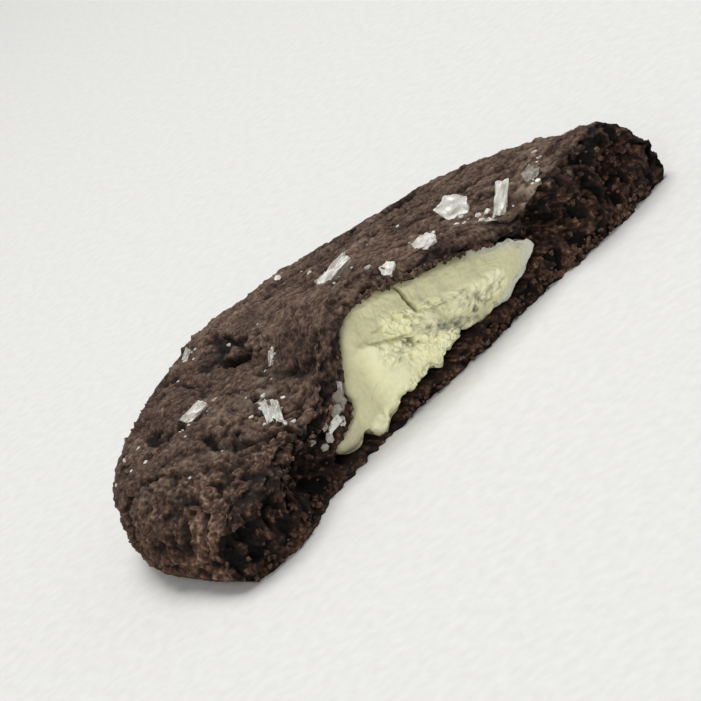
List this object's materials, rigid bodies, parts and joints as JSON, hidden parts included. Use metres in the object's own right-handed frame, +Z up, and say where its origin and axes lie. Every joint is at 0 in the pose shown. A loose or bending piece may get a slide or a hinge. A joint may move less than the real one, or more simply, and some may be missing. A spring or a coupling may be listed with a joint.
{
  "type": "filled cookie",
  "caption": "Half of a dark chocolate cookie with a white chocolate filling, broken across so the filling shows, with salt flakes on its crust.",
  "frame": {"origin": "middle of the bounding box, on the flat base", "axes": "+Z up from the base; X along the break; the broken face looks to -Y and the round rim is at +Y"},
  "size_m": [0.0786, 0.0462, 0.0164],
  "materials": {
    "cocoa_dough": "baked cocoa dough, matt, with salt flakes",
    "white_chocolate": "soft white chocolate, satin skin and crumbly middle"
  },
  "bodies": {
    "root": {"cookie": "cocoa_dough", "filling": "white_chocolate"}
  },
  "joints": []
}
